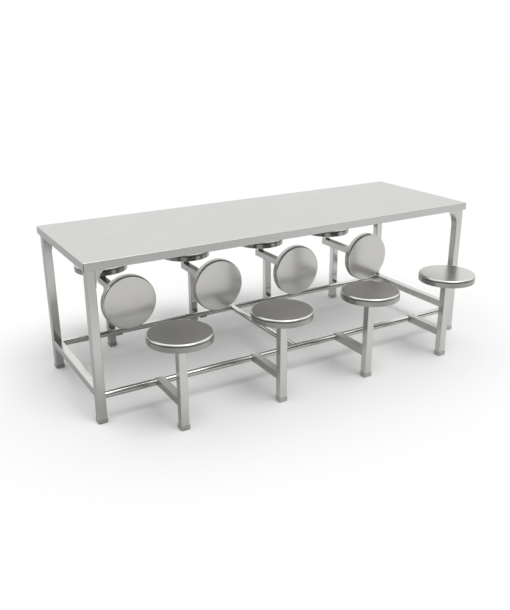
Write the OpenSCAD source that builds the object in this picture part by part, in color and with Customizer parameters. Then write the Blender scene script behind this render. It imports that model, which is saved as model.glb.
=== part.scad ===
/* [Table top] */
// Length of the table top
table_l = 2150; // [1800:10:2600]
// Width of the table top
table_w = 720; // [680:10:900]
// Height of the table top above the floor
table_h = 750; // [720:5:800]
// Height of the folded edge
apron_h = 38; // [32:1:50]
// Thickness of the folded sheet
sheet_t = 1.5; // [1:0.1:2.5]
// Distance from the outer face of a leg to the edge of the top
top_overhang = 10; // [6:1:16]

/* [Top frame] */
// Height of the tubes under the sheet
top_frame_h = 25; // [20:1:28]
// Wall of the tubes and channels under the sheet
top_frame_wall = 1.5; // [1:0.1:2]
// Width of a stiffening channel
brace_w = 60; // [40:5:80]
// Height of a stiffening channel
brace_h = 20; // [12:1:24]

/* [Legs] */
// Side of a leg tube
leg_w = 40; // [36:1:50]
// Wall of a leg tube
leg_wall = 1.5; // [1:0.1:3]
// Radius of the curved bracket at the top of a leg
gusset_r = 90; // [60:5:110]
// Thickness of the bracket at its two tips
gusset_tip = 1; // [0.8:0.1:1.4]
// Sheet thickness of the bracket
gusset_wall = 2; // [1.6:0.1:3]

/* [Feet] */
// Height of a foot cap
foot_h = 22; // [16:1:32]
// Wall of a foot cap round the tube
foot_wall = 2; // [1.5:0.1:4]
// Thickness of a foot cap under the tube
foot_floor = 6; // [6:0.5:9]
// Slope cut round the bottom edge of a foot cap
foot_chamfer = 5; // [2:0.5:5.5]

/* [Low frame] */
// Side of the square tube of stretchers, posts and arms
tube_w = 38; // [34:1:42]
// Wall of the square tube
tube_wall = 1.5; // [1:0.1:2.5]
// Outer diameter of the round rails
rail_d = 32; // [26:1:34]
// Wall of the round rails
rail_wall = 2; // [1:0.1:3]
// Height of the rail axis above the floor
rail_z = 129; // [100:1:180]
// Height of the end stretchers' axis above the floor
stretcher_z = 141; // [100:1:190]
// Place of the cross rail along the table, from its middle
cross_x = -16; // [-80:1:80]

/* [Seats] */
// Diameter of a seat
seat_d = 284; // [240:2:320]
// Depth of a seat pan
seat_t = 36; // [30:1:50]
// Thickness of the pressed sheet of a seat pan
seat_wall = 1.5; // [1:0.1:2.5]
// Rounding of the top edge of a seat
seat_edge_r = 7; // [3:0.5:12]
// Height of the seats above the floor
seat_h = 460; // [420:5:500]
// Thickness of the disc that closes a seat underneath
seat_disc_t = 2; // [1.5:0.1:4]
// Side of the square flange on that disc
flange_w = 80; // [60:2:120]
// Thickness of the square flange
flange_t = 4; // [3:0.5:8]

/* [Front stools] */
// Distance between neighbouring stools
stool_pitch = 504; // [440:2:540]
// Distance from the rail axis to the axis of a post
stool_reach = 241; // [200:1:300]
// Distance from the rail axis to the shoulder of the hinge block
knuckle_l = 24; // [22:0.5:32]
// Length of the hinge block's spigot in the arm tube
spigot_l = 30; // [15:1:50]

/* [Back stations] */
// Shift of the back row along the table
back_shift = 43; // [0:1:80]
// Distance from the rail axis to the axis of a back post
back_post_reach = 125; // [90:1:160]
// Distance from the rail axis to the axis of a back seat
back_seat_reach = 213; // [190:1:260]
// Height of the cross arm's axis above the floor
back_arm_z = 358; // [300:1:380]
// Distance from the rail axis inwards to the face of an upright disc
back_disc_reach = 210; // [180:1:230]
// Thickness of the tie bar under the rail
tie_t = 8; // [6:0.5:12]
// Depth of the tie bar's saddle for the rail
tie_bite = 3; // [1:0.5:5]
// Length of the tie bar past the rail axis
tie_lap = 12; // [8:1:20]

/* [Fits] */
// Gap all round between the rail and the bore of a hinge block
hinge_gap = 0.05; // [0.02:0.01:0.1]
// Gap all round between a seat pan and the disc that closes it
seat_gap = 0.3; // [0.1:0.05:0.5]
// Gap all round a spigot in its tube
spigot_gap = 0.2; // [0.1:0.05:0.4]
// Gap between a saddle cut and its rail
saddle_gap = 0.2; // [0.1:0.05:0.4]

/* [Hidden] */
table_nodes = [
    "table_top", "top_frame_front", "top_frame_back", "top_frame_ends", "top_braces",
    "leg_front_left", "leg_front_right", "leg_back_left", "leg_back_right",
    "leg_gussets", "leg_feet", "end_stretcher_left", "end_stretcher_right",
    "front_rail", "back_rail", "cross_rail"
];
stool_pieces = ["seat", "seat_base", "post", "arm", "hinge_block", "foot"];
back_pieces = ["back_seat", "upright_disc", "back_post", "back_arm"];
shared_nodes = ["back_risers", "back_feet", "back_disc_bases", "rail_ties"];
// Places of the stools in a row, as shares of the pitch from the row's middle
row_shares = [-1.5, -0.5, 0.5, 1.5];
// Stools and back stations are counted along the table from the left
places = [1 : len(row_shares)];

$fn = 96;
// One overrun for every cut that has to run past a face
over = 1;
// The two sides, as shares of the way from the middle to a leg
side_shares = [-1, 1];
// Places of the channels, as shares of the way from the middle to a leg
brace_shares = [-0.5, 0, 0.5];

// Heights
sheet_under = table_h - sheet_t;
frame_under = sheet_under - top_frame_h;
seat_under = seat_h - seat_t;
// Leg axes, measured from the middle of the table
leg_x = table_l / 2 - top_overhang - leg_w / 2;
leg_y = table_w / 2 - top_overhang - leg_w / 2;
leg_gap_x = 2 * leg_x - leg_w;
leg_gap_y = 2 * leg_y - leg_w;
// Places across the table, measured from its middle
front_post_y = -leg_y - stool_reach;
back_post_y = leg_y + back_post_reach;
back_seat_y = leg_y + back_seat_reach;
disc_face_y = leg_y - back_disc_reach;
// The middle of the table, so that the whole object is centred on the origin
front_reach = max(table_w / 2, stool_reach + leg_y + seat_d / 2);
back_reach = max(table_w / 2, back_seat_y + seat_d / 2);
middle_y = (front_reach - back_reach) / 2;

function row_x(k) = row_shares[k - 1] * stool_pitch;
function back_x(k) = row_x(k) + back_shift;

steel = "#b9b9b4";
bright_steel = "#d6d6d5";
dark_steel = "#8f8f89";

// Moves a piece from the table's own middle to the origin of the object
module on_table() translate([0, middle_y, 0]) children();

// A square tube that stands on z = 0
module upright_tube(w, wall, h) {
    difference() {
        translate([-w / 2, -w / 2, 0]) cube([w, w, h]);
        translate([-w / 2 + wall, -w / 2 + wall, -over])
            cube([w - 2 * wall, w - 2 * wall, h + 2 * over]);
    }
}

// A tube of any section along Y, from y = 0, centred on its axis
module tube_y(w, h, wall, l) {
    difference() {
        translate([-w / 2, 0, -h / 2]) cube([w, l, h]);
        translate([-w / 2 + wall, -over, -h / 2 + wall])
            cube([w - 2 * wall, l + 2 * over, h - 2 * wall]);
    }
}

// The same along X
module tube_x(w, h, wall, l) rotate([0, 0, -90]) tube_y(w, h, wall, l);

// A round pipe along X, centred
module pipe_x(d, wall, l) {
    rotate([0, 90, 0]) difference() {
        cylinder(d = d, h = l, center = true);
        cylinder(d = d - 2 * wall, h = l + 2 * over, center = true);
    }
}

// A cap for the end of a square tube of side w, resting on z = 0
module foot_cap(w) {
    half = w / 2 + foot_wall;
    side = [
        [-half + foot_chamfer, 0], [half - foot_chamfer, 0], [half, foot_chamfer],
        [half, foot_h], [-half, foot_h], [-half, foot_chamfer]
    ];
    difference() {
        intersection() {
            rotate([90, 0, 0]) linear_extrude(height = 2 * half, center = true) polygon(side);
            rotate([90, 0, 90]) linear_extrude(height = 2 * half, center = true) polygon(side);
        }
        translate([-w / 2, -w / 2, foot_floor]) cube([w, w, foot_h]);
    }
}

// A disc with a rounded upper edge, from z = 0 up to z = h
module rounded_disc(r, h, edge) {
    rotate_extrude() {
        square([r - edge, h]);
        square([r, h - edge]);
        translate([r - edge, h - edge]) intersection() {
            circle(r = edge);
            square(edge);
        }
    }
}

// A seat pan with its face at z = 0 and its rim hanging below
module seat_pan() {
    color(bright_steel) translate([0, 0, -seat_t]) difference() {
        rounded_disc(seat_d / 2, seat_t, seat_edge_r);
        translate([0, 0, -over])
            rounded_disc(seat_d / 2 - seat_wall, seat_t - seat_wall + over, seat_edge_r - seat_wall);
    }
}

// The disc and flange that close a seat pan underneath, in the pan's place
module seat_base() {
    color(steel) translate([0, 0, -seat_t]) {
        translate([-flange_w / 2, -flange_w / 2, 0]) cube([flange_w, flange_w, flange_t]);
        translate([0, 0, flange_t])
            cylinder(r = seat_d / 2 - seat_wall - seat_gap, h = seat_disc_t);
    }
}

module table_top() {
    inner_l = table_l - 2 * sheet_t;
    inner_w = table_w - 2 * sheet_t;
    mouth_l = table_l - 2 * top_overhang;
    mouth_w = table_w - 2 * top_overhang;
    low = table_h - apron_h;
    color(bright_steel) on_table() difference() {
        translate([-table_l / 2, -table_w / 2, low]) cube([table_l, table_w, apron_h]);
        translate([-inner_l / 2, -inner_w / 2, low + sheet_t])
            cube([inner_l, inner_w, apron_h - 2 * sheet_t]);
        translate([-mouth_l / 2, -mouth_w / 2, low - over])
            cube([mouth_l, mouth_w, sheet_t + 2 * over]);
    }
}

// The long tube under the sheet, on one side of the table
module top_frame_long(side) {
    color(steel) on_table() translate([-leg_gap_x / 2, side * leg_y, frame_under + top_frame_h / 2])
        tube_x(leg_w, top_frame_h, top_frame_wall, leg_gap_x);
}

module top_frame_ends() {
    color(steel) on_table() for (side = side_shares)
        translate([side * leg_x, -leg_gap_y / 2, frame_under + top_frame_h / 2])
            tube_y(leg_w, top_frame_h, top_frame_wall, leg_gap_y);
}

// Channels across the table, open towards the sheet
module top_braces() {
    color(steel) on_table() for (share = brace_shares)
        translate([share * leg_x, 0, sheet_under - brace_h]) difference() {
            translate([-brace_w / 2, -leg_gap_y / 2, 0]) cube([brace_w, leg_gap_y, brace_h]);
            translate([-brace_w / 2 + top_frame_wall, -leg_gap_y / 2 - over, top_frame_wall])
                cube([brace_w - 2 * top_frame_wall, leg_gap_y + 2 * over, brace_h]);
        }
}

module leg(side_x, side_y) {
    color(steel) on_table() translate([side_x * leg_x, side_y * leg_y, foot_floor])
        upright_tube(leg_w, leg_wall, sheet_under - foot_floor);
}

// The hollow of one bracket and its outline, with the corner of leg and frame at the origin
module gusset_outline(r, size) {
    difference() {
        translate([0, -size]) square(size);
        translate([gusset_r + gusset_tip, -gusset_r - gusset_tip]) circle(r = r);
    }
}

module gusset() {
    size = gusset_r + gusset_tip;
    rotate([90, 0, 0]) difference() {
        linear_extrude(height = leg_w, center = true) gusset_outline(gusset_r, size);
        translate([-over, over, 0]) linear_extrude(height = leg_w - 2 * gusset_wall, center = true)
            gusset_outline(gusset_r + gusset_wall + over, size);
    }
}

module leg_gussets() {
    color(steel) on_table() for (side_y = side_shares) {
        translate([-leg_gap_x / 2, side_y * leg_y, frame_under]) gusset();
        translate([leg_gap_x / 2, side_y * leg_y, frame_under]) mirror([1, 0, 0]) gusset();
    }
}

module leg_feet() {
    color(dark_steel) on_table() for (side_x = side_shares, side_y = side_shares)
        translate([side_x * leg_x, side_y * leg_y, 0]) foot_cap(leg_w);
}

module end_stretcher(side) {
    color(steel) on_table() translate([side * leg_x, -leg_gap_y / 2, stretcher_z])
        tube_y(tube_w, tube_w, tube_wall, leg_gap_y);
}

module long_rail(side) {
    color(steel) on_table() translate([0, side * leg_y, rail_z]) pipe_x(rail_d, rail_wall, leg_gap_x);
}

module cross_rail() {
    color(steel) on_table() translate([cross_x, 0, rail_z]) difference() {
        rotate([0, 0, 90]) pipe_x(rail_d, rail_wall, 2 * leg_y);
        for (side = side_shares) translate([0, side * leg_y, 0]) rotate([0, 90, 0])
            cylinder(d = rail_d + 2 * saddle_gap, h = rail_d + 2 * over, center = true);
    }
}

// A front stool's seat place
module at_front_seat(k) on_table() translate([row_x(k), front_post_y, seat_h]) children();

module stool_seat(k) at_front_seat(k) seat_pan();

module stool_seat_base(k) at_front_seat(k) seat_base();

module stool_post(k) {
    color(steel) on_table() translate([row_x(k), front_post_y, foot_floor])
        upright_tube(tube_w, tube_wall, seat_under - foot_floor);
}

module stool_arm(k) {
    color(steel) on_table() translate([row_x(k), front_post_y + tube_w / 2, rail_z])
        tube_y(tube_w, tube_w, tube_wall, stool_reach - knuckle_l - tube_w / 2);
}

// The block that turns on the rail, with a round nose and a spigot in the arm tube
module stool_hinge_block(k) {
    spigot_w = tube_w - 2 * tube_wall - 2 * spigot_gap;
    color(dark_steel) on_table() translate([row_x(k), -leg_y, rail_z]) difference() {
        union() {
            rotate([0, 90, 0]) cylinder(d = tube_w, h = tube_w, center = true);
            translate([-tube_w / 2, -knuckle_l, -tube_w / 2]) cube([tube_w, knuckle_l, tube_w]);
            translate([-spigot_w / 2, -knuckle_l - spigot_l, -spigot_w / 2])
                cube([spigot_w, spigot_l + over, spigot_w]);
        }
        rotate([0, 90, 0])
            cylinder(d = rail_d + 2 * hinge_gap, h = tube_w + 2 * over, center = true);
    }
}

module stool_foot(k) {
    color(dark_steel) on_table() translate([row_x(k), front_post_y, 0]) foot_cap(tube_w);
}

module back_seat(k) on_table() translate([back_x(k), back_seat_y, seat_h]) seat_pan();

// An upright disc faces the front of the table
module at_upright_disc(k) {
    on_table() translate([back_x(k), disc_face_y, back_arm_z]) rotate([90, 0, 0]) children();
}

module upright_disc(k) at_upright_disc(k) seat_pan();

module back_post(k) {
    color(steel) on_table() translate([back_x(k), back_post_y, foot_floor])
        upright_tube(tube_w, tube_wall, back_arm_z - tube_w / 2 - foot_floor);
}

// The arm runs from the upright disc's flange to the outer face of the riser, where a plate closes it
module back_arm(k) {
    start = disc_face_y + seat_t;
    length = back_seat_y + tube_w / 2 - start;
    color(steel) on_table() translate([back_x(k), start, back_arm_z]) {
        tube_y(tube_w, tube_w, tube_wall, length);
        translate([-tube_w / 2, length - tube_wall, -tube_w / 2]) cube([tube_w, tube_wall, tube_w]);
    }
}

module back_risers() {
    foot_z = back_arm_z + tube_w / 2;
    color(steel) on_table() for (k = places) translate([back_x(k), back_seat_y, foot_z])
        upright_tube(tube_w, tube_wall, seat_under - foot_z);
}

module back_feet() {
    color(dark_steel) on_table() for (k = places)
        translate([back_x(k), back_post_y, 0]) foot_cap(tube_w);
}

module back_disc_bases() {
    for (k = places) {
        on_table() translate([back_x(k), back_seat_y, seat_h]) seat_base();
        at_upright_disc(k) seat_base();
    }
}

// Flat bars that tie the back posts to the underside of the back rail
module rail_ties() {
    top = rail_z - rail_d / 2 + tie_bite;
    length = back_post_reach - tube_w / 2 + tie_lap;
    color(steel) on_table() for (k = places) translate([back_x(k), leg_y, 0]) difference() {
        translate([-tube_w / 2, -tie_lap, top - tie_t]) cube([tube_w, length, tie_t]);
        translate([0, 0, rail_z]) rotate([0, 90, 0])
            cylinder(d = rail_d + 2 * saddle_gap, h = tube_w + 2 * over, center = true);
    }
}

table_top();
top_frame_long(-1);  // top_frame_front
top_frame_long(1);  // top_frame_back
top_frame_ends();
top_braces();
leg(-1, -1);  // leg_front_left
leg(1, -1);  // leg_front_right
leg(-1, 1);  // leg_back_left
leg(1, 1);  // leg_back_right
leg_gussets();
leg_feet();
end_stretcher(-1);  // end_stretcher_left
end_stretcher(1);  // end_stretcher_right
long_rail(-1);  // front_rail
long_rail(1);  // back_rail
cross_rail();
for (k = places) stool_seat(k);
for (k = places) stool_seat_base(k);
for (k = places) stool_post(k);
for (k = places) stool_arm(k);
for (k = places) stool_hinge_block(k);
for (k = places) stool_foot(k);
for (k = places) back_seat(k);
for (k = places) upright_disc(k);
for (k = places) back_post(k);
for (k = places) back_arm(k);
back_risers();
back_feet();
back_disc_bases();
rail_ties();
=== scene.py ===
"""A canteen table with folding stools in brushed stainless steel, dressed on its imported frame.

Each sub-assembly is a class that takes its sizes from the frame's own nodes. It models the tubes, sheets
and pans with the rounded folds and corners of real steel, and gives every piece its finish.
"""

import logging
import math
from collections.abc import Callable, Iterator
from contextlib import contextmanager
from dataclasses import dataclass
from enum import Enum
from typing import ClassVar

import bmesh
import bpy
from mathutils import Matrix, Vector


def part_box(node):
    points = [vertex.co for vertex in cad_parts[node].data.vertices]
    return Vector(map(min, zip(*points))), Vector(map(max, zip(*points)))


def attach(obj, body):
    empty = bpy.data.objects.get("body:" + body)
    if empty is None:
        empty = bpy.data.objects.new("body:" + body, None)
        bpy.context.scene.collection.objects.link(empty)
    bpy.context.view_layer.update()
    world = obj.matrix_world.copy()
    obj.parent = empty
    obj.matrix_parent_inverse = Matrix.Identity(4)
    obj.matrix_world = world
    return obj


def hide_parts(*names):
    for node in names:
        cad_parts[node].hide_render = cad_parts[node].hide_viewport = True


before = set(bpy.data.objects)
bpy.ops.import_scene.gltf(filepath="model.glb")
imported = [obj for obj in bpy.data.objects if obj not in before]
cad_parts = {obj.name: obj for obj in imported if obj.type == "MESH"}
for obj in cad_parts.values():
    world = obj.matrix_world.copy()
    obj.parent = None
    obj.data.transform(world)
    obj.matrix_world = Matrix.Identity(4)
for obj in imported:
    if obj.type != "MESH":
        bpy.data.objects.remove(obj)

log = logging.getLogger("canteen_table")

MM = 0.001
# The body that every fixed piece rides on, and the numbers of the stools or stations in a row.
BODY = "frame"
PLACES = (1, 2, 3, 4)
# Two points nearer to each other than this are taken as one.
TOUCH = 0.02 * MM
# A direction whose cosine to an axis is above this runs along the axis.
ALIGNED = 0.99
# Corners round a pipe, and steps in a rounded corner or fold.
PIPE_SIDES = 64
CORNER_STEPS = 5
# The surfaces of a piece, in the order in which they get their finishes.
FIRST, SECOND, THIRD = 0, 1, 2


class Along(Enum):
    """The axis that a tube, a pipe or a brushed grain runs along."""

    X = 0
    Y = 1
    Z = 2


def linear(hex_colour: str) -> tuple[float, float, float, float]:
    """Turns an sRGB hex colour into Blender's linear colour.

    Args:
        hex_colour: such as "#b3b3ad".

    Returns:
        Red, green, blue and alpha, all linear.
    """
    channels = [int(hex_colour[place:place + 2], 16) / 255 for place in (1, 3, 5)]
    red, green, blue = (c / 12.92 if c <= 0.04045 else ((c + 0.055) / 1.055) ** 2.4 for c in channels)
    return red, green, blue, 1.0


def add_node(
    tree: bpy.types.NodeTree,
    kind: str,
    values: dict[str | int, object] | None = None,
    links: dict[str | int, bpy.types.NodeSocket] | None = None,
    **settings: object,
) -> bpy.types.Node:
    """Adds a shader node with its socket values, its links and its own settings.

    Args:
        tree: the node tree that gets the node.
        kind: Blender's name of the node.
        values: what each input socket, by its name or number, is set to.
        links: the output that feeds each input socket.
        settings: properties of the node itself.

    Returns:
        The new node.
    """
    node = tree.nodes.new(kind)
    for name, value in settings.items():
        setattr(node, name, value)
    for name, value in (values or {}).items():
        node.inputs[name].default_value = value
    for name, output in (links or {}).items():
        tree.links.new(output, node.inputs[name])
    return node


@dataclass(frozen=True)
class BrushedSteel:
    """Austenitic stainless steel, ground with a fine belt and left satin.

    The belt leaves fine lines along its travel, so the surface mirrors its surroundings softly and is a
    little rougher in some lines than in others. Handling leaves faint broad clouds.

    Attributes:
        name: the material's name.
        slot: the record's slot that the finish stands for; not used.
        bright: sRGB colour of the polished lines.
        dull: sRGB colour of the clouds.
        roughness: roughness of the smoothest and of the roughest lines.
        grain: the axis that the belt ran along.
        line_width: width of a line in metres, drawn several times coarser than the belt's own grit.
        line_length: length of a line in metres.
        depth: depth of the lines in metres.
        cloud_size: breadth of a cloud in metres.
        reach: the part of the noise's range that the roughness is spread over.
    """

    name: str
    slot: str
    bright: str
    dull: str
    roughness: tuple[float, float]
    grain: Along
    line_width: float = 0.4 * MM
    line_length: float = 60 * MM
    depth: float = 0.003 * MM
    cloud_size: float = 200 * MM
    reach: tuple[float, float] = (0.3, 0.7)

    def material(self) -> bpy.types.Material:
        """Builds the procedural material, once for each name."""
        known = bpy.data.materials.get(self.name)
        if known:
            return known
        material = bpy.data.materials.new(self.name)
        material.use_nodes = True
        tree = material.node_tree
        shader = tree.nodes["Principled BSDF"]
        shader.inputs["Metallic"].default_value = 1.0
        place = add_node(tree, "ShaderNodeTexCoord").outputs["Object"]
        stretch = [1 / self.line_width] * 3
        stretch[self.grain.value] = 1 / self.line_length
        lines = add_node(
            tree,
            "ShaderNodeTexNoise",
            {"Scale": 1.0, "Detail": 2.0, "Roughness": 0.6},
            {"Vector": add_node(tree, "ShaderNodeMapping", {"Scale": stretch}, {"Vector": place}).outputs[0]},
        )
        clouds = add_node(
            tree,
            "ShaderNodeTexNoise",
            {"Scale": 1 / self.cloud_size, "Detail": 3.0, "Roughness": 0.55},
            {"Vector": place},
        )
        tone = add_node(tree, "ShaderNodeMix", links={"Factor": clouds.outputs[0]}, data_type="RGBA")
        tone.inputs["A"].default_value = linear(self.bright)
        tone.inputs["B"].default_value = linear(self.dull)
        tree.links.new(tone.outputs["Result"], shader.inputs["Base Color"])
        low, high = self.roughness
        gloss = add_node(
            tree,
            "ShaderNodeMapRange",
            {"From Min": self.reach[0], "From Max": self.reach[1], "To Min": low, "To Max": high},
            {"Value": lines.outputs[0]},
        )
        tree.links.new(gloss.outputs[0], shader.inputs["Roughness"])
        relief = add_node(
            tree, "ShaderNodeBump", {"Strength": 1.0, "Distance": self.depth}, {"Height": lines.outputs[0]}
        )
        tree.links.new(relief.outputs[0], shader.inputs["Normal"])
        return material


# Cold-rolled sheet, brushed along its length: the palest and most even face.
SHEET = BrushedSteel("satin_sheet_steel", "table_sheet", "#c4c4c2", "#bdbdbb", (0.26, 0.30), Along.X)
# The sheet's underside and the frame under it, left as they came from the mill: dull, and darker than the top
# as painted shade, the shade under the table that the seats mirror.
UNDERSIDE_PAINTED_SHADE = BrushedSteel("mill_underside_painted_shade_steel", "table_sheet", "#b0afab", "#a6a5a1", (0.42, 0.50), Along.X)
HIDDEN_FRAME_PAINTED_SHADE = BrushedSteel("mill_frame_painted_shade_steel", "square_tube", "#b0afab", "#a6a5a1", (0.42, 0.50), Along.Y)
# The open corner seams, a real gap whose cut edges are painted near black as painted shade.
SEAM_PAINTED_SHADE = BrushedSteel("painted_shade_seam_steel", "table_sheet", "#4a4a47", "#3f3f3c", (0.45, 0.55), Along.Z)
# Pressed seat pans, brushed after pressing and dulled by use: what they mirror is soft.
PAN = BrushedSteel("satin_pressed_steel", "seat_pan", "#c9c8c4", "#c1c0bc", (0.23, 0.27), Along.X)
# The same pressings standing upright, brushed up and down. Nobody sits on them, so they keep their gloss.
UPRIGHT_PAN = BrushedSteel("satin_upright_pan_steel", "seat_pan", "#c8c7c3", "#c0bfbb", (0.15, 0.18), Along.Z)
# The pans' walls, where the press has drawn the metal: darker than the face, a painted shade for the dim room
# that the walls mirror.
RIM_PAINTED_SHADE = BrushedSteel("drawn_rim_painted_shade_steel", "seat_pan", "#a3a29e", "#999894", (0.20, 0.25), Along.Z)
# The groove rolled in under a pan's bead, painted near black: painted shade, the dark line under the bead.
GROOVE_PAINTED_SHADE = BrushedSteel("painted_shade_groove_steel", "seat_pan", "#4a4a47", "#3f3f3c", (0.45, 0.55), Along.Z)
# Unpolished mill sheet under the seats.
BASE = BrushedSteel("mill_sheet_steel", "seat_base", "#8f8e8a", "#858480", (0.38, 0.46), Along.X)
# Welded square tube, brushed along its length.
TUBE = {
    along: BrushedSteel(
        f"satin_tube_steel_{along.name.lower()}", "square_tube", "#cac9c6", "#c1c0bd", (0.15, 0.20), along
    )
    for along in Along
}
# Square tube of the arms, which the belt passed only once, so that it is rougher; its darker colour is painted
# shade, for the dark parts that the arms mirror.
ARM_PAINTED_SHADE = BrushedSteel("dull_arm_painted_shade_steel", "square_tube", "#bbbab7", "#b3b2af", (0.34, 0.40), Along.Y)
# Drawn round pipe, glossy, with lines too shallow to break up the bright line along its crown.
PIPE = {
    along: BrushedSteel(
        f"bright_pipe_steel_{along.name.lower()}",
        "round_pipe",
        "#c6c5c2",
        "#bcbbb8",
        (0.13, 0.16),
        along,
        depth=0.0002 * MM,
    )
    for along in (Along.X, Along.Y)
}
# Pressed foot caps, duller from the floor's wear.
CAP = BrushedSteel("pressed_cap_steel", "foot_cap", "#b6b5b1", "#acaba7", (0.28, 0.36), Along.X)
# Machined hinge blocks with the marks of the cutter round the rail.
BLOCK = BrushedSteel("machined_block_steel", "hinge_block", "#bab9b5", "#aeada9", (0.26, 0.33), Along.X)


def clear_selection() -> None:
    """Deselects every object, so that an operator acts only on what is chosen next."""
    if bpy.context.mode != "OBJECT":
        bpy.ops.object.mode_set(mode="OBJECT")
    bpy.ops.object.select_all(action="DESELECT")


def choose(piece: bpy.types.Object) -> None:
    """Makes one object the selected and active one."""
    clear_selection()
    piece.select_set(True)
    bpy.context.view_layer.objects.active = piece


@contextmanager
def editing(piece: bpy.types.Object) -> Iterator[Callable[..., None]]:
    """Opens a piece in edit mode and gives a function that selects its faces or edges by a test.

    Args:
        piece: the mesh object to edit.

    Yields:
        A function of a kind, "faces" or "edges", and a test of one such element.
    """
    choose(piece)
    bpy.ops.object.mode_set(mode="EDIT")

    def select(kind: str, test: Callable[[bmesh.types.BMFace | bmesh.types.BMEdge], bool]) -> None:
        """Selects the elements of a kind that pass the test, and nothing else."""
        bpy.ops.mesh.select_mode(type="FACE" if kind == "faces" else "EDGE")
        bpy.ops.mesh.select_all(action="DESELECT")
        mesh = bmesh.from_edit_mesh(piece.data)
        for element in getattr(mesh, kind):
            if test(element):
                element.select_set(True)
        mesh.select_flush_mode()
        bmesh.update_edit_mesh(piece.data)

    yield select
    bpy.ops.object.mode_set(mode="OBJECT")


def settle(piece: bpy.types.Object) -> None:
    """Puts a piece's place, turn and size into its mesh, so that its object stands at the origin."""
    choose(piece)
    bpy.ops.object.transform_apply(location=True, rotation=True, scale=True)


def apply_modifier(piece: bpy.types.Object, kind: str, **settings: object) -> None:
    """Adds one modifier to a piece and applies it.

    Args:
        piece: the mesh object.
        kind: Blender's name of the modifier.
        settings: the modifier's own properties.
    """
    choose(piece)
    modifier = piece.modifiers.new(kind.title(), kind)
    for name, value in settings.items():
        setattr(modifier, name, value)
    bpy.ops.object.modifier_apply(modifier=modifier.name)


def smooth(piece: bpy.types.Object, angle: float = 40.0) -> None:
    """Shades round corners smoothly and keeps flat faces flat.

    Args:
        piece: the mesh object.
        angle: the sharpest corner, in degrees, that is shaded as round.
    """
    choose(piece)
    bpy.ops.object.shade_smooth_by_angle(angle=math.radians(angle))
    apply_modifier(piece, "WEIGHTED_NORMAL", keep_sharp=True, weight=50)


def block(name: str, low: Vector, high: Vector) -> bpy.types.Object:
    """Adds a cuboid between two corners, with its place in its mesh.

    Args:
        name: the piece's name.
        low: the lowest corner.
        high: the highest corner.

    Returns:
        The new object.
    """
    clear_selection()
    bpy.ops.mesh.primitive_cube_add(size=1.0, location=(low + high) / 2)
    piece = bpy.context.object
    piece.name = name
    piece.scale = high - low
    settle(piece)
    return piece


def runs_along(edge: bmesh.types.BMEdge, along: Along) -> bool:
    """Tells whether an edge is parallel to an axis."""
    way = (edge.verts[1].co - edge.verts[0].co).normalized()
    return abs(way[along.value]) > ALIGNED


def square_tube(
    name: str,
    low: Vector,
    high: Vector,
    along: Along,
    wall: float,
    corner: float,
) -> bpy.types.Object:
    """Makes a welded square tube with rounded corners and open ends.

    Args:
        name: the piece's name.
        low: the lowest corner of the space that it fills.
        high: the highest corner.
        along: the axis that it runs along.
        wall: the wall's thickness.
        corner: the outer radius of its corners.

    Returns:
        The tube.
    """
    piece = block(name, low, high)
    with editing(piece) as select:
        select("faces", lambda face: abs(face.normal[along.value]) > ALIGNED)
        bpy.ops.mesh.delete(type="ONLY_FACE")
        select("edges", lambda edge: runs_along(edge, along))
        bpy.ops.mesh.bevel(offset=corner, segments=CORNER_STEPS, affect="EDGES")
    apply_modifier(piece, "SOLIDIFY", thickness=wall, offset=-1.0)
    smooth(piece)
    return piece


def round_pipe(
    name: str,
    low: Vector,
    high: Vector,
    along: Along,
    wall: float,
) -> bpy.types.Object:
    """Makes a drawn round pipe with open ends.

    Args:
        name: the piece's name.
        low: the lowest corner of the space that it fills.
        high: the highest corner.
        along: the axis that it runs along.
        wall: the wall's thickness.

    Returns:
        The pipe.
    """
    span = high - low
    turn = {Along.X: (0, math.pi / 2, 0), Along.Y: (math.pi / 2, 0, 0), Along.Z: (0, 0, 0)}[along]
    clear_selection()
    bpy.ops.mesh.primitive_cylinder_add(
        vertices=PIPE_SIDES,
        radius=min(span) / 2,
        depth=span[along.value],
        end_fill_type="NOTHING",
        location=(low + high) / 2,
        rotation=turn,
    )
    piece = bpy.context.object
    piece.name = name
    settle(piece)
    apply_modifier(piece, "SOLIDIFY", thickness=wall, offset=-1.0)
    smooth(piece)
    return piece


def cut(piece: bpy.types.Object, tool: bpy.types.Object) -> None:
    """Cuts one object's shape out of a piece and removes the tool."""
    apply_modifier(piece, "BOOLEAN", operation="DIFFERENCE", object=tool, solver="EXACT")
    bpy.data.objects.remove(tool, do_unlink=True)


def joined(name: str, pieces: list[bpy.types.Object]) -> bpy.types.Object:
    """Joins like pieces into one object of separate solids.

    Args:
        name: the name of the joined piece.
        pieces: the objects to join.

    Returns:
        The joined object.
    """
    clear_selection()
    for piece in pieces:
        piece.select_set(True)
    bpy.context.view_layer.objects.active = pieces[0]
    bpy.ops.object.join()
    whole = bpy.context.object
    whole.name = name
    return whole


def moved(start: Vector, end: Vector) -> Matrix:
    """Gives the shift from one point to another."""
    return Matrix.Translation(end - start)


def copied(piece: bpy.types.Object, name: str, place: Matrix) -> bpy.types.Object:
    """Copies a finished piece, with a mesh of its own, to another place.

    Args:
        piece: the model that is copied.
        name: the copy's name.
        place: where the copy goes, applied to its mesh.

    Returns:
        The copy.
    """
    twin = piece.copy()
    twin.data = piece.data.copy()
    twin.name = name
    bpy.context.collection.objects.link(twin)
    twin.data.transform(place)
    return twin


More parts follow.
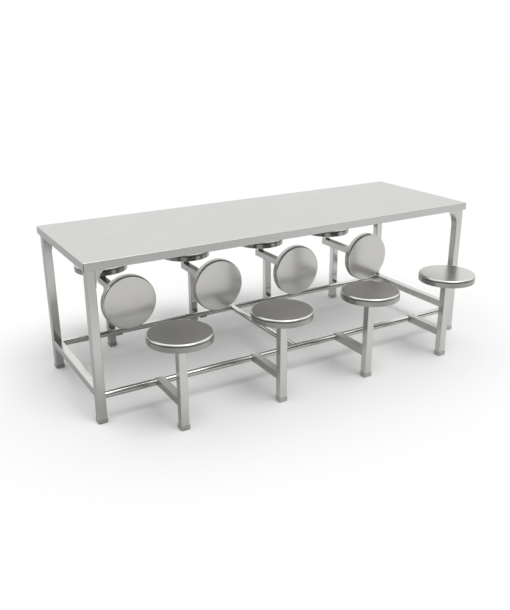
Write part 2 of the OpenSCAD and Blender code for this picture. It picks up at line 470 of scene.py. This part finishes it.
def dress(
    piece: bpy.types.Object,
    finish: BrushedSteel,
    body: str,
    *nodes: str,
    others: tuple[BrushedSteel, ...] = (),
) -> bpy.types.Object:
    """Gives a new piece its finish and its body, and hides the nodes that it stands for.

    Args:
        piece: the new piece.
        finish: the finish of its surface.
        body: the body that it moves with.
        nodes: the frame's nodes that it replaces.
        others: the finishes of the faces that the piece marks as its second and later surfaces.

    Returns:
        The same piece.
    """
    for wanted in (finish, *others):
        if wanted.name not in piece.data.materials:
            piece.data.materials.append(wanted.material())
    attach(piece, body)
    if nodes:
        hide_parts(*nodes)
    log.info("%s rides on %s as %s", piece.name, body, finish.name)
    return piece


def finish_node(node: str, finish: BrushedSteel) -> None:
    """Gives a node of the frame, whose shape is right as it is, its finish."""
    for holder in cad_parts[node].material_slots:
        holder.material = finish.material()
    log.info("%s keeps its shape as %s", node, finish.name)


@dataclass
class FootCap:
    """A pressed cap round the end of a square tube, with its lower edge sloped off.

    Attributes:
        slope: height and width of the slope round its sole.
        wall: thickness round the tube.
        sole: thickness under the tube.
        corner: radius of its upright corners.
        corner_steps: number of steps in such a corner.
    """

    slope: float = 5 * MM
    wall: float = 2 * MM
    sole: float = 6 * MM
    corner: float = 3 * MM
    corner_steps: int = 4

    def build(self, name: str, low: Vector, high: Vector) -> bpy.types.Object:
        """Makes the cap in the space between two corners.

        Args:
            name: the piece's name.
            low: the lowest corner of the cap.
            high: the highest corner.

        Returns:
            The cap.
        """
        piece = block(name, low, high)
        with editing(piece) as select:
            select("edges", lambda edge: all(abs(v.co.z - low.z) < TOUCH for v in edge.verts))
            bpy.ops.mesh.bevel(offset=self.slope, segments=1, affect="EDGES")
            select("edges", lambda edge: runs_along(edge, Along.Z))
            bpy.ops.mesh.bevel(offset=self.corner, segments=self.corner_steps, affect="EDGES")
            select("faces", lambda face: face.normal.z > ALIGNED)
            bpy.ops.mesh.inset(thickness=self.wall, depth=0.0)
            bpy.ops.mesh.extrude_region_move(
                TRANSFORM_OT_translate={"value": (0, 0, self.sole - (high.z - low.z))}
            )
        smooth(piece)
        return piece


@dataclass
class SeatPan:
    """A round pressed pan whose upper edge is rolled into a slight bead, open underneath.

    Attributes:
        edge: radius of the rounded edge.
        groove: height of the groove under the bead.
        groove_depth: how far the groove is rolled in.
        wall: thickness of the pressed sheet.
        steps: number of corners round the rim.
        arc_steps: number of corners in a quarter turn of the bead.
        other_finishes: the finishes of the wall and of the groove, after the face's; both are darker with
            painted shade.
    """

    edge: float = 8 * MM
    groove: float = 4 * MM
    groove_depth: float = 2.2 * MM
    wall: float = 1.5 * MM
    steps: int = 160
    arc_steps: int = 8
    other_finishes: ClassVar[tuple[BrushedSteel, ...]] = (RIM_PAINTED_SHADE, GROOVE_PAINTED_SHADE)

    def profile(self, radius: float, depth: float) -> list[tuple[float, float]]:
        """Gives the pan's outline as radius and depth, from the face's edge down to the open rim.

        Args:
            radius: the pan's outer radius.
            depth: the pan's whole height.

        Returns:
            The outline's points, the face's edge first.
        """
        quarter = [math.pi / 2 * step / self.arc_steps for step in range(self.arc_steps + 1)]
        bead = [
            (radius - self.edge * (1 - math.sin(turn)), self.edge * (1 - math.cos(turn))) for turn in quarter
        ]
        whole = [math.tau * step / (2 * self.arc_steps) for step in range(1, 2 * self.arc_steps + 1)]
        rolled = [
            (
                radius - self.groove_depth * (1 - math.cos(turn)) / 2,
                self.edge + self.groove * turn / math.tau,
            )
            for turn in whole
        ]
        return [*bead, *rolled, (radius, depth)]

    def build(self, name: str, low: Vector, high: Vector) -> bpy.types.Object:
        """Makes the pan, looking up, in the space between two corners.

        Args:
            name: the piece's name.
            low: the lowest corner of the space.
            high: the highest corner.

        Returns:
            The pan, with its wall as its second surface and its groove as its third.
        """
        span = high - low
        middle = (low + high) / 2
        outline = self.profile(span.x / 2, span.z)
        centre = Vector((middle.x, middle.y, high.z))
        clear_selection()
        bpy.ops.mesh.primitive_circle_add(
            vertices=self.steps, radius=outline[0][0], fill_type="NOTHING", location=centre
        )
        piece = bpy.context.object
        piece.name = name
        settle(piece)
        with editing(piece) as select:
            for (radius, depth), (next_radius, next_depth) in zip(outline, outline[1:]):
                select("edges", lambda edge, level=high.z - depth: self.is_open_rim(edge, level))
                bpy.ops.mesh.extrude_region_move(TRANSFORM_OT_translate={"value": (0, 0, depth - next_depth)})
                bpy.ops.transform.resize(
                    value=(next_radius / radius, next_radius / radius, 1.0), center_override=centre
                )
            select("edges", lambda edge: self.is_open_rim(edge, high.z))
            bpy.ops.mesh.edge_face_add()
            bpy.ops.mesh.select_all(action="SELECT")
            bpy.ops.mesh.normals_make_consistent(inside=False)
        if max(piece.data.polygons, key=lambda face: face.area).normal.z < 0:
            piece.data.flip_normals()
        bead_end = high.z - self.edge
        wall_top = bead_end - self.groove
        # The wall takes the darker colour and the groove the near-black one; both are painted shade.
        for face in piece.data.polygons:
            under_bead = SECOND if face.center.z < wall_top else THIRD
            face.material_index = under_bead if face.center.z < bead_end else FIRST
        apply_modifier(piece, "SOLIDIFY", thickness=self.wall, offset=-1.0)
        smooth(piece)
        return piece

    def is_open_rim(self, edge: bmesh.types.BMEdge, level: float) -> bool:
        """Tells whether an edge lies on the open rim at a level."""
        return len(edge.link_faces) < 2 and all(abs(v.co.z - level) < TOUCH / 4 for v in edge.verts)


@dataclass
class TableTop:
    """The folded sheet with its lips, over a hidden frame of tubes and channels.

    Attributes:
        sheet: thickness of the sheet.
        fold: outer radius of its folds.
        lip: width of the lip that turns in under the edge.
        seam: width of the open seam at each corner.
        seam_depth: how far a seam runs in from its corner.
        seam_stop: how far under the upper face it stops.
        frame_nodes: the tubes and channels inside.
    """

    sheet: float = 1.5 * MM
    fold: float = 2.2 * MM
    lip: float = 10 * MM
    seam: float = 2.4 * MM
    seam_depth: float = 6 * MM
    seam_stop: float = 2.4 * MM
    frame_nodes: tuple[str, ...] = ("top_frame_front", "top_frame_back", "top_frame_ends", "top_braces")

    def build(self) -> None:
        """Models the sheet and finishes the frame under it."""
        low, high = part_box("table_top")
        piece = block("folded_top_sheet", low, high)
        with editing(piece) as select:
            select("faces", lambda face: face.normal.z < -ALIGNED)
            bpy.ops.mesh.inset(thickness=self.lip, depth=0.0)
            bpy.ops.mesh.delete(type="FACE")
            select("edges", lambda edge: self.is_fold(edge, low, high))
            bpy.ops.mesh.bevel(offset=self.fold, segments=CORNER_STEPS, affect="EDGES")
        for finish in (SHEET, UNDERSIDE_PAINTED_SHADE, SEAM_PAINTED_SHADE):
            piece.data.materials.append(finish.material())
        # The new inner shell, the underside and the inside of the apron, takes the darker colour, which is
        # painted shade.
        apply_modifier(piece, "SOLIDIFY", thickness=self.sheet, offset=-1.0, material_offset=SECOND)
        for corner_x in (low.x, high.x):
            for corner_y in (low.y, high.y):
                self.open_seam(piece, Vector((corner_x, corner_y, low.z)), high.z)
        smooth(piece)
        dress(piece, SHEET, BODY, "table_top", others=(UNDERSIDE_PAINTED_SHADE, SEAM_PAINTED_SHADE))
        # The hidden frame takes the same darker colour, painted shade.
        for node in self.frame_nodes:
            finish_node(node, HIDDEN_FRAME_PAINTED_SHADE)

    def open_seam(self, piece: bpy.types.Object, corner: Vector, top: float) -> None:
        """Cuts the narrow upright seam where two folded edges of the sheet meet at a corner.

        Args:
            piece: the folded sheet.
            corner: the foot of the corner.
            top: the sheet's upper face.
        """
        clear_selection()
        height = top - corner.z - self.seam_stop
        bpy.ops.mesh.primitive_cube_add(
            size=1.0,
            location=(corner.x, corner.y, corner.z + height / 2),
            rotation=(0, 0, math.copysign(math.pi / 4, corner.x * corner.y)),
        )
        tool = bpy.context.object
        tool.scale = (2 * self.seam_depth, self.seam, height)
        settle(tool)
        # The seam's cut faces take the near-black colour, painted shade in the gap.
        for face in tool.data.polygons:
            face.material_index = THIRD
        cut(piece, tool)

    def is_fold(self, edge: bmesh.types.BMEdge, low: Vector, high: Vector) -> bool:
        """Tells whether an edge lies on the outside of the sheet, where it is folded."""
        middle = (edge.verts[0].co + edge.verts[1].co) / 2
        on_side = [
            min(abs(middle[axis] - low[axis]), abs(middle[axis] - high[axis])) < TOUCH for axis in range(3)
        ]
        return sum(on_side) >= 2


@dataclass
class LegSet:
    """The four legs with their curved brackets and foot caps.

    Attributes:
        wall: wall of the leg tubes.
        corner: outer radius of the tubes' corners.
        bracket_radius: radius of the brackets' curve.
        bracket_edge: rounding of the curve's two edges.
        edge_steps: number of steps in that rounding.
        curve_sides: number of corners round the whole circle of the curve.
        legs: the legs' nodes, the one that the others are copied from first.
    """

    wall: float = 1.5 * MM
    corner: float = 3 * MM
    bracket_radius: float = 90 * MM
    bracket_edge: float = 0.4 * MM
    edge_steps: int = 3
    curve_sides: int = 192
    legs: tuple[str, ...] = ("leg_front_left", "leg_front_right", "leg_back_left", "leg_back_right")

    def build(self) -> None:
        """Models the legs, their brackets and their caps."""
        first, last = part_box(self.legs[0])
        model = square_tube(f"{self.legs[0]}_tube", first, last, Along.Z, self.wall, self.corner)
        tubes = [model] + [
            copied(model, f"{leg}_tube", moved(first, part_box(leg)[0])) for leg in self.legs[1:]
        ]
        for leg, tube in zip(self.legs, tubes):
            dress(tube, TUBE[Along.Z], BODY, leg)
        dress(self.brackets(), TUBE[Along.Z], BODY, "leg_gussets")
        dress(self.caps(), CAP, BODY, "leg_feet")

    def brackets(self) -> bpy.types.Object:
        """Makes the four brackets as one piece of four solids."""
        low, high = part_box("leg_gussets")
        size = high.z - low.z
        leg_low, leg_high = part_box(self.legs[0])
        near = Vector((low.x, leg_low.y, low.z))
        far = Vector((low.x + size, leg_high.y, high.z))
        model = self.bracket(near, far, Vector((far.x, 0, low.z)))
        middle = (near + far) / 2
        pieces = [model]
        for leg in self.legs[1:]:
            other_low, other_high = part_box(leg)
            left = leg.endswith("left")
            centre_x = middle.x if left else low.x + high.x - middle.x
            centre = Vector((centre_x, (other_low.y + other_high.y) / 2, middle.z))
            turn = Matrix.Rotation(0 if left else math.pi, 4, "Z")
            place = Matrix.Translation(centre) @ turn @ Matrix.Translation(-middle)
            pieces.append(copied(model, "bracket", place))
        return joined("curved_leg_brackets", pieces)

    def bracket(self, low: Vector, high: Vector, centre: Vector) -> bpy.types.Object:
        """Cuts one bracket's hollow curve out of a cuboid and rounds the curve's edges."""
        piece = block("bracket", low, high)
        clear_selection()
        bpy.ops.mesh.primitive_cylinder_add(
            vertices=self.curve_sides,
            radius=self.bracket_radius,
            depth=2 * (high.y - low.y),
            location=(centre.x, (low.y + high.y) / 2, centre.z),
            rotation=(math.pi / 2, 0, 0),
        )
        tool = bpy.context.object
        settle(tool)
        cut(piece, tool)
        with editing(piece) as select:
            select("edges", lambda edge: self.is_rim(edge, low, high, centre))
            bpy.ops.mesh.bevel(offset=self.bracket_edge, segments=self.edge_steps, affect="EDGES")
        smooth(piece)
        return piece

    def is_rim(self, edge: bmesh.types.BMEdge, low: Vector, high: Vector, centre: Vector) -> bool:
        """Tells whether an edge lies on the curve, on one side of the bracket."""
        ends = [vertex.co for vertex in edge.verts]
        flank = any(all(abs(end.y - side) < TOUCH for end in ends) for side in (low.y, high.y))
        away = [math.hypot(end.x - centre.x, end.z - centre.z) for end in ends]
        return flank and all(abs(distance - self.bracket_radius) < 10 * TOUCH for distance in away)

    def caps(self) -> bpy.types.Object:
        """Makes the four foot caps as one piece of four solids."""
        low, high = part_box("leg_feet")
        first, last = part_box(self.legs[0])
        wall = first.x - low.x
        cap_high = Vector((last.x + wall, last.y + wall, high.z))
        model = FootCap(wall=wall).build("cap", low, cap_high)
        copies = [copied(model, "cap", moved(first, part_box(leg)[0])) for leg in self.legs[1:]]
        return joined("leg_foot_caps", [model, *copies])


@dataclass
class LowFrame:
    """The end stretchers, the two long rails, the cross rail and the ties under the back rail.

    Attributes:
        tube_wall: wall of the square stretchers.
        corner: outer radius of their corners.
        pipe_wall: wall of the round rails.
        saddle: gap between the cross rail's saddle and a long rail.
    """

    tube_wall: float = 1.5 * MM
    corner: float = 3 * MM
    pipe_wall: float = 2 * MM
    saddle: float = 0.2 * MM

    def build(self) -> None:
        """Models the low frame."""
        for node in ("end_stretcher_left", "end_stretcher_right"):
            low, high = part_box(node)
            piece = square_tube(f"{node}_tube", low, high, Along.Y, self.tube_wall, self.corner)
            dress(piece, TUBE[Along.Y], BODY, node)
        for node in ("front_rail", "back_rail"):
            low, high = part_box(node)
            dress(round_pipe(f"{node}_pipe", low, high, Along.X, self.pipe_wall), PIPE[Along.X], BODY, node)
        dress(self.cross_pipe(), PIPE[Along.Y], BODY, "cross_rail")
        finish_node("rail_ties", TUBE[Along.Y])

    def cross_pipe(self) -> bpy.types.Object:
        """Makes the cross rail, with its ends cut to saddle the long rails."""
        low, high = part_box("cross_rail")
        rails = [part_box("front_rail"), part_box("back_rail")]
        start, end = ((rail_low + rail_high) / 2 for rail_low, rail_high in rails)
        piece = round_pipe(
            "cross_rail_pipe",
            Vector((low.x, start.y, low.z)),
            Vector((high.x, end.y, high.z)),
            Along.Y,
            self.pipe_wall,
        )
        for rail_low, rail_high in rails:
            gap = Vector((0, self.saddle, self.saddle))
            middle = (low.x + high.x) / 2
            reach = high.x - low.x
            clear_selection()
            bpy.ops.mesh.primitive_cylinder_add(
                vertices=PIPE_SIDES,
                radius=(rail_high.z - rail_low.z) / 2 + gap.z,
                depth=2 * reach,
                location=(middle, (rail_low.y + rail_high.y) / 2, (rail_low.z + rail_high.z) / 2),
                rotation=(0, math.pi / 2, 0),
            )
            tool = bpy.context.object
            settle(tool)
            cut(piece, tool)
        smooth(piece)
        return piece


@dataclass
class FoldingStools:
    """The front stools, each of which folds in about the front rail.

    Attributes:
        wall: wall of their tubes.
        corner: outer radius of the tubes' corners.
    """

    wall: float = 1.5 * MM
    corner: float = 3 * MM

    def build(self) -> None:
        """Models the first stool, copies it along the row, and finishes the bases and hinge blocks."""
        first = f"stool_{PLACES[0]}"
        models = {
            "seat": SeatPan().build("seat", *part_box(f"{first}_seat")),
            "post": square_tube("post", *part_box(f"{first}_post"), Along.Z, self.wall, self.corner),
            "arm": square_tube("arm", *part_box(f"{first}_arm"), Along.Y, self.wall, self.corner),
            "foot": FootCap().build("foot", *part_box(f"{first}_foot")),
        }
        # The arms' darker colour is painted shade.
        finishes = {"seat": PAN, "post": TUBE[Along.Z], "arm": ARM_PAINTED_SHADE, "foot": CAP}
        for place in PLACES:
            body = f"stool_{place}"
            for part, model in models.items():
                node = f"{body}_{part}"
                piece = copied(model, f"{node}_piece", moved(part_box(f"{first}_{part}")[0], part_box(node)[0]))
                others = SeatPan.other_finishes if part == "seat" else ()
                dress(piece, finishes[part], body, node, others=others)
            finish_node(f"{body}_seat_base", BASE)
            finish_node(f"{body}_hinge_block", BLOCK)
        for model in models.values():
            bpy.data.objects.remove(model, do_unlink=True)


@dataclass
class BackRow:
    """The four fixed stations behind the table: level seats, upright discs, posts and cross arms.

    Attributes:
        wall: wall of the tubes.
        corner: outer radius of the tubes' corners.
        end_edge: rounding of the ground edges of the plate that closes an arm.
        end_steps: number of steps in that rounding.
    """

    wall: float = 1.5 * MM
    corner: float = 3 * MM
    end_edge: float = 0.8 * MM
    end_steps: int = 2

    def build(self) -> None:
        """Models the first station, copies it along the row, and adds the pieces that all share."""
        first = PLACES[0]
        seat_low, seat_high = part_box(f"back_seat_{first}")
        seat = SeatPan().build("seat", seat_low, seat_high)
        disc_low, disc_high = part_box(f"upright_disc_{first}")
        tip_up = Matrix.Rotation(math.pi / 2, 4, "X")
        stand = (
            Matrix.Translation((disc_low + disc_high) / 2)
            @ tip_up
            @ Matrix.Translation(-(seat_low + seat_high) / 2)
        )
        models = {
            "back_seat": seat,
            "upright_disc": copied(seat, "disc", stand),
            "back_post": square_tube("post", *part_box(f"back_post_{first}"), Along.Z, self.wall, self.corner),
            "back_arm": self.closed_arm(*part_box(f"back_arm_{first}")),
        }
        # The arms' darker colour is painted shade.
        finishes = {
            "back_seat": PAN,
            "upright_disc": UPRIGHT_PAN,
            "back_post": TUBE[Along.Z],
            "back_arm": ARM_PAINTED_SHADE,
        }
        for place in PLACES:
            for part, model in models.items():
                node = f"{part}_{place}"
                piece = copied(model, f"{node}_piece", moved(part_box(f"{part}_{first}")[0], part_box(node)[0]))
                others = SeatPan.other_finishes if part in ("back_seat", "upright_disc") else ()
                dress(piece, finishes[part], BODY, node, others=others)
        for model in models.values():
            bpy.data.objects.remove(model, do_unlink=True)
        dress(self.risers(), TUBE[Along.Z], BODY, "back_risers")
        dress(self.caps(), CAP, BODY, "back_feet")
        finish_node("back_disc_bases", BASE)

    def closed_arm(self, low: Vector, high: Vector) -> bpy.types.Object:
        """Makes a cross arm whose outer end is closed by a welded plate, ground round at its edges."""
        piece = block("arm", low, high)
        with editing(piece) as select:
            select("faces", lambda face: face.normal.y < -ALIGNED)
            bpy.ops.mesh.delete(type="ONLY_FACE")
            select("edges", lambda edge: runs_along(edge, Along.Y))
            bpy.ops.mesh.bevel(offset=self.corner, segments=CORNER_STEPS, affect="EDGES")
            select("edges", lambda edge: all(abs(v.co.y - high.y) < TOUCH for v in edge.verts))
            bpy.ops.mesh.bevel(offset=self.end_edge, segments=self.end_steps, affect="EDGES")
        apply_modifier(piece, "SOLIDIFY", thickness=self.wall, offset=-1.0)
        smooth(piece)
        return piece

    def risers(self) -> bpy.types.Object:
        """Makes the short tubes between the arms and the level seats."""
        low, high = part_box("back_risers")
        arm_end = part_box(f"back_arm_{PLACES[0]}")[1]
        far = Vector((arm_end.x, high.y, high.z))
        model = square_tube("riser", low, far, Along.Z, self.wall, self.corner)
        return joined("back_riser_tubes", [model, *self.along_row(model, "back_arm")])

    def caps(self) -> bpy.types.Object:
        """Makes the four foot caps of the posts."""
        low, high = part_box("back_feet")
        first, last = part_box(f"back_post_{PLACES[0]}")
        wall = first.y - low.y
        far = Vector((last.x + wall, high.y, high.z))
        model = FootCap(wall=wall).build("cap", low, far)
        return joined("back_foot_caps", [model, *self.along_row(model, "back_post")])

    def along_row(self, model: bpy.types.Object, part: str) -> list[bpy.types.Object]:
        """Copies a model of the first station to the other stations, by the places of a part."""
        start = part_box(f"{part}_{PLACES[0]}")[0]
        return [copied(model, model.name, moved(start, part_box(f"{part}_{place}")[0])) for place in PLACES[1:]]


@dataclass(frozen=True)
class DimPart:
    """A part of the room or of its floor that the steel mirrors dimmer than white.

    Attributes:
        side: the way to its middle.
        edges: cosines of the angles from that way at which the part begins and is full.
        level: its brightness, where 1 is white.
    """

    side: tuple[float, float, float]
    edges: tuple[float, float]
    level: float

    def nearness(self, tree: bpy.types.NodeTree, way: bpy.types.NodeSocket) -> bpy.types.NodeSocket:
        """Gives 0 for a direction outside the part and 1 for one well inside it."""
        towards = add_node(tree, "ShaderNodeVectorMath", {1: self.side}, {0: way}, operation="DOT_PRODUCT")
        return add_node(
            tree,
            "ShaderNodeMapRange",
            {"From Min": self.edges[0], "From Max": self.edges[1]},
            {"Value": towards.outputs["Value"]},
            interpolation_type="SMOOTHSTEP",
        ).outputs[0]

    def brightness(self, tree: bpy.types.NodeTree, nearness: bpy.types.NodeSocket) -> bpy.types.NodeSocket:
        """Gives the brightness that the steel mirrors, which is 1 for the camera's own rays."""
        dimmed = add_node(
            tree, "ShaderNodeMapRange", {"To Min": 1.0, "To Max": self.level}, {"Value": nearness}
        )
        path = add_node(tree, "ShaderNodeLightPath").outputs
        rays = {0: dimmed.outputs[0], 1: path["Is Camera Ray"]}
        return add_node(tree, "ShaderNodeMath", links=rays, operation="MAXIMUM").outputs[0]


@dataclass
class Studio:
    """The pale floor, the soft light and the camera at the photograph's angle.

    Attributes:
        place: where the camera stands.
        yaw: the camera's turn from +Y towards +X, in radians.
        pitch: how far it looks down, in radians.
        roll: its tilt about the line of sight, in radians.
        focal_pixels: focal length in pixels of the photograph.
        long_side: the photograph's longer side in pixels.
        sensor: width of the camera's sensor in millimetres.
        view_end: how far the camera sees.
        floor_size: length of the floor's sides.
        floor_paint: sRGB colour of the floor.
        oval: how far each axis counts in the distance from the middle of the floor.
        near_floor: how far from the middle the floor is plain paint.
        far_floor: how far off it has faded to white.
        near_mirrored: how far from the middle the steel mirrors the floor as it is.
        far_mirrored: how far off the floor that it mirrors has faded into the room.
        soft_light: strength of the light from all round.
        key_light: strength of the key light.
        key_spread: angle that the key light spreads over, in degrees.
        key_side: the way to the key light.
        key_distance: how far off its object stands.
        dim_room: the dark part of the room, on the photographer's side.
        dim_heights: sines of the heights at which that part begins to end and has ended.
        dim_front: the dimmer floor in front.
        dim_left: the dimmer floor on the left.
        overhead: brightness of the softbox overhead.
        overhead_heights: sines of the heights at which the softbox begins and is full.
    """

    place: Vector
    yaw: float = 0.5315
    pitch: float = 0.3612
    roll: float = -0.0044
    focal_pixels: float = 711.9
    long_side: float = 610.0
    sensor: float = 36.0
    view_end: float = 100.0
    floor_size: float = 60.0
    floor_paint: str = "#f6f6f6"
    oval: tuple[float, float, float] = (0.6, 1.0, 1.0)
    near_floor: float = 0.9
    far_floor: float = 2.4
    near_mirrored: float = 1.0
    far_mirrored: float = 2.2
    soft_light: float = 0.81
    key_light: float = 1.12
    key_spread: float = 36.0
    key_side: tuple[float, float, float] = (0.1, -0.44, 0.89)
    key_distance: float = 4.0
    dim_room: DimPart = DimPart((-0.3, -0.95, 0.0), (0.1, 0.5), 0.08)
    dim_heights: tuple[float, float] = (0.4, 0.65)
    dim_front: DimPart = DimPart((-0.5, -0.87, 0.0), (0.35, 0.8), 0.75)
    dim_left: DimPart = DimPart((-0.96, 0.28, 0.0), (0.2, 0.85), 0.62)
    overhead: float = 1.6
    overhead_heights: tuple[float, float] = (0.2, 0.7)

    def build(self) -> None:
        """Sets up floor, world, key light and camera."""
        bpy.context.scene.view_settings.view_transform = "Standard"
        self.floor()
        self.world()
        self.key()
        self.camera()

    def camera(self) -> None:
        """Adds the camera."""
        forward = Vector((
            math.sin(self.yaw) * math.cos(self.pitch),
            math.cos(self.yaw) * math.cos(self.pitch),
            -math.sin(self.pitch),
        ))
        level = Vector((math.cos(self.yaw), -math.sin(self.yaw), 0.0))
        upright = level.cross(forward)
        right = math.cos(self.roll) * level + math.sin(self.roll) * upright
        up = math.cos(self.roll) * upright - math.sin(self.roll) * level
        data = bpy.data.cameras.new("photo_camera")
        data.sensor_width = self.sensor
        data.lens = self.sensor * self.focal_pixels / self.long_side
        data.clip_end = self.view_end
        view = bpy.data.objects.new("photo_camera", data)
        bpy.context.collection.objects.link(view)
        turn = Matrix((right, up, -forward)).transposed()
        view.matrix_world = Matrix.Translation(self.place) @ turn.to_4x4()
        bpy.context.scene.camera = view

    def mirrored(self, tree: bpy.types.NodeTree) -> bpy.types.NodeSocket:
        """Gives 1 for rays that gloss or glass sends, and 0 for others."""
        path = add_node(tree, "ShaderNodeLightPath").outputs
        rays = {0: path["Is Glossy Ray"], 1: path["Is Transmission Ray"]}
        return add_node(tree, "ShaderNodeMath", links=rays, operation="MAXIMUM").outputs[0]

    def floor(self) -> None:
        """Adds the pale floor, which keeps the shadows near the table and fades to white far off."""
        clear_selection()
        bpy.ops.mesh.primitive_plane_add(size=self.floor_size)
        ground = bpy.context.object
        ground.name = "studio_floor"
        material = bpy.data.materials.new("pale_floor_paint")
        material.use_nodes = True
        tree = material.node_tree
        shader = tree.nodes["Principled BSDF"]
        # Matt emulsion paint, with hardly any sheen.
        shader.inputs["Roughness"].default_value = 0.9
        shader.inputs["Specular IOR Level"].default_value = 0.1
        place = add_node(tree, "ShaderNodeTexCoord").outputs["Object"]
        oval = add_node(tree, "ShaderNodeVectorMath", {1: self.oval}, {0: place}, operation="MULTIPLY")
        distance = add_node(
            tree, "ShaderNodeVectorMath", links={"Vector": oval.outputs["Vector"]}, operation="LENGTH"
        )
        path = add_node(tree, "ShaderNodeLightPath").outputs
        fades = []
        for ray, near, far in (
            (path["Is Camera Ray"], self.near_floor, self.far_floor),
            (self.mirrored(tree), self.near_mirrored, self.far_mirrored),
        ):
            fade = add_node(
                tree,
                "ShaderNodeMapRange",
                {"From Min": near, "From Max": far},
                {"Value": distance.outputs["Value"]},
                interpolation_type="SMOOTHSTEP",
            )
            fades.append(
                add_node(
                    tree, "ShaderNodeMath", links={0: fade.outputs[0], 1: ray}, operation="MULTIPLY"
                ).outputs[0]
            )
        faded = add_node(tree, "ShaderNodeMath", links=dict(enumerate(fades)), operation="MAXIMUM")
        way = add_node(tree, "ShaderNodeVectorMath", links={"Vector": place}, operation="NORMALIZE")
        front, left = (
            part.brightness(tree, part.nearness(tree, way.outputs["Vector"]))
            for part in (self.dim_front, self.dim_left)
        )
        colour = linear(self.floor_paint)[:3]
        paint = add_node(tree, "ShaderNodeVectorMath", {0: colour}, {"Scale": left}, operation="SCALE")
        tree.links.new(paint.outputs[0], shader.inputs["Base Color"])
        level = add_node(tree, "ShaderNodeMath", links={0: front, 1: left}, operation="MULTIPLY")
        white = add_node(
            tree, "ShaderNodeEmission", {"Color": linear("#ffffff")}, {"Strength": level.outputs[0]}
        )
        mixed = add_node(
            tree,
            "ShaderNodeMixShader",
            links={0: faded.outputs[0], 1: shader.outputs[0], 2: white.outputs[0]},
        )
        tree.links.new(mixed.outputs[0], tree.nodes["Material Output"].inputs["Surface"])
        ground.data.materials.append(material)

    def world(self) -> None:
        """Lights the scene softly from all round, with a white background that the steel mirrors too.

        On the photographer's side, low down, the room that the steel mirrors is darker, which draws the
        dark lines under the bright edges of pans and pipes.
        """
        world = bpy.data.worlds.new("white_studio")
        bpy.context.scene.world = world
        world.use_nodes = True
        tree = world.node_tree
        tree.nodes.clear()
        way = add_node(tree, "ShaderNodeTexCoord").outputs["Generated"]
        height = add_node(tree, "ShaderNodeSeparateXYZ", links={"Vector": way}).outputs["Z"]
        begin, full = self.overhead_heights
        lift = add_node(
            tree,
            "ShaderNodeMapRange",
            {"From Min": begin, "From Max": full, "To Min": 1.0, "To Max": self.overhead},
            {"Value": height},
            interpolation_type="SMOOTHSTEP",
        )
        full, end = self.dim_heights
        low_down = add_node(
            tree,
            "ShaderNodeMapRange",
            {"From Min": full, "From Max": end, "To Min": 1.0, "To Max": 0.0},
            {"Value": height},
            interpolation_type="SMOOTHSTEP",
        )
        towards = self.dim_room.nearness(tree, way)
        nearness = add_node(
            tree, "ShaderNodeMath", links={0: towards, 1: low_down.outputs[0]}, operation="MULTIPLY"
        )
        level = add_node(
            tree,
            "ShaderNodeMath",
            links={0: self.dim_room.brightness(tree, nearness.outputs[0]), 1: lift.outputs[0]},
            operation="MULTIPLY",
        )
        path = add_node(tree, "ShaderNodeLightPath").outputs
        seen = add_node(
            tree,
            "ShaderNodeMath",
            links={0: path["Is Camera Ray"], 1: self.mirrored(tree)},
            operation="MAXIMUM",
        )
        soft = add_node(
            tree, "ShaderNodeBackground", {"Color": linear("#ffffff"), "Strength": self.soft_light}
        )
        white = add_node(
            tree, "ShaderNodeBackground", {"Color": linear("#ffffff")}, {"Strength": level.outputs[0]}
        )
        mixed = add_node(
            tree,
            "ShaderNodeMixShader",
            links={0: seen.outputs[0], 1: soft.outputs[0], 2: white.outputs[0]},
        )
        add_node(tree, "ShaderNodeOutputWorld", links={"Surface": mixed.outputs[0]})

    def key(self) -> None:
        """Adds the broad key light from in front of the table and above it."""
        data = bpy.data.lights.new("key_light", "SUN")
        data.energy = self.key_light
        data.angle = math.radians(self.key_spread)
        lamp = bpy.data.objects.new("key_light", data)
        bpy.context.collection.objects.link(lamp)
        source = Vector(self.key_side).normalized() * self.key_distance
        turn = (-source).to_track_quat("-Z", "Y")
        lamp.matrix_world = Matrix.Translation(source) @ turn.to_matrix().to_4x4()


def main() -> None:
    """Builds the table in order and sets the studio round it."""
    logging.basicConfig(level=logging.INFO, format="%(message)s")
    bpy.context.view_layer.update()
    clear_selection()
    Studio(place=Vector((-1.8687, -3.0657, 1.6066))).build()
    TableTop().build()
    LegSet().build()
    LowFrame().build()
    FoldingStools().build()
    BackRow().build()
    clear_selection()


if __name__ == "__main__":
    main()
